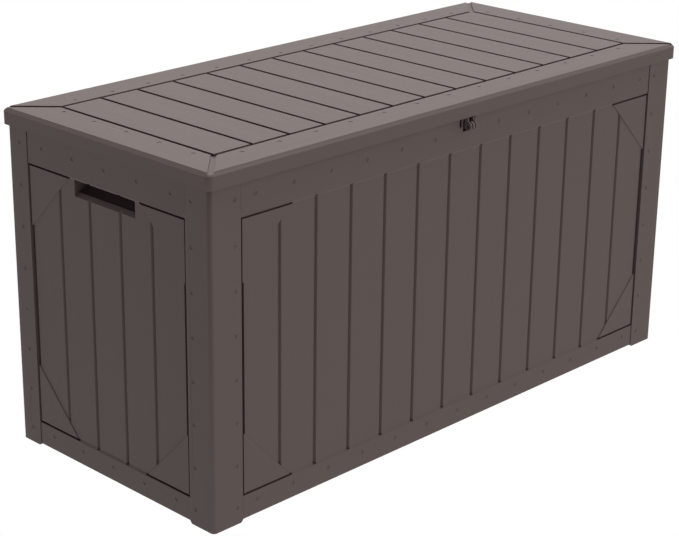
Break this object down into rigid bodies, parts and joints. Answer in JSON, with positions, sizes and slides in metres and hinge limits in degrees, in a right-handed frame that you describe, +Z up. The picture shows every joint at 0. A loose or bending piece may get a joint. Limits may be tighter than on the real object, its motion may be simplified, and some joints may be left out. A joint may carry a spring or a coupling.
{
  "type": "deck storage box",
  "caption": "Outdoor resin storage box with board-pattern walls between corner posts, hand grips and a lockable hinged lid.",
  "frame": {"origin": "on the ground at the centre of the footprint", "axes": "+X along the length, to the right seen from the front; +Y towards the hinged back; +Z up"},
  "size_m": [1.23, 0.5498, 0.6255],
  "materials": {
    "wall_resin": "matte, faint wood grain",
    "post_resin": "matte, faint wood grain",
    "lid_resin": "matte, faint wood grain",
    "floor_resin": "matte",
    "hinge_plastic": "satin",
    "eye_plastic": "satin",
    "plug_plastic": "satin",
    "tube_steel": "powder coated",
    "pin_steel": "plated",
    "screw_steel": "plated"
  },
  "bodies": {
    "box": {"front_panel": "wall_resin", "back_panel": "wall_resin", "left_side_panel": "wall_resin", "right_side_panel": "wall_resin", "floor_panel": "floor_resin", "front_left_post": "post_resin", "front_right_post": "post_resin", "back_left_post": "post_resin", "back_right_post": "post_resin", "corner_screws": "screw_steel", "hinge_base_screws": "screw_steel", "padlock_lug": "eye_plastic", "padlock_lug_screws": "screw_steel", "hinge_base_left": "hinge_plastic", "hinge_base_centre": "hinge_plastic", "hinge_base_right": "hinge_plastic", "hinge_pin_left": "pin_steel", "hinge_pin_centre": "pin_steel", "hinge_pin_right": "pin_steel"},
    "lid": {"lid_shell": "lid_resin", "lid_tube_front": "tube_steel", "lid_tube_rear": "tube_steel", "tube_plugs": "plug_plastic", "lid_hinge_screws": "screw_steel", "lid_hasp": "eye_plastic", "lid_hasp_screws": "screw_steel", "lid_hinge_leaf_left": "hinge_plastic", "lid_hinge_leaf_centre": "hinge_plastic", "lid_hinge_leaf_right": "hinge_plastic"}
  },
  "joints": [
    {"name": "lid_hinge", "type": "hinge", "parent": "box", "child": "lid", "pos_m": [0, 0.2692, 0.588], "axis": [-1, 0, 0], "range_deg": [0, 100]}
  ]
}
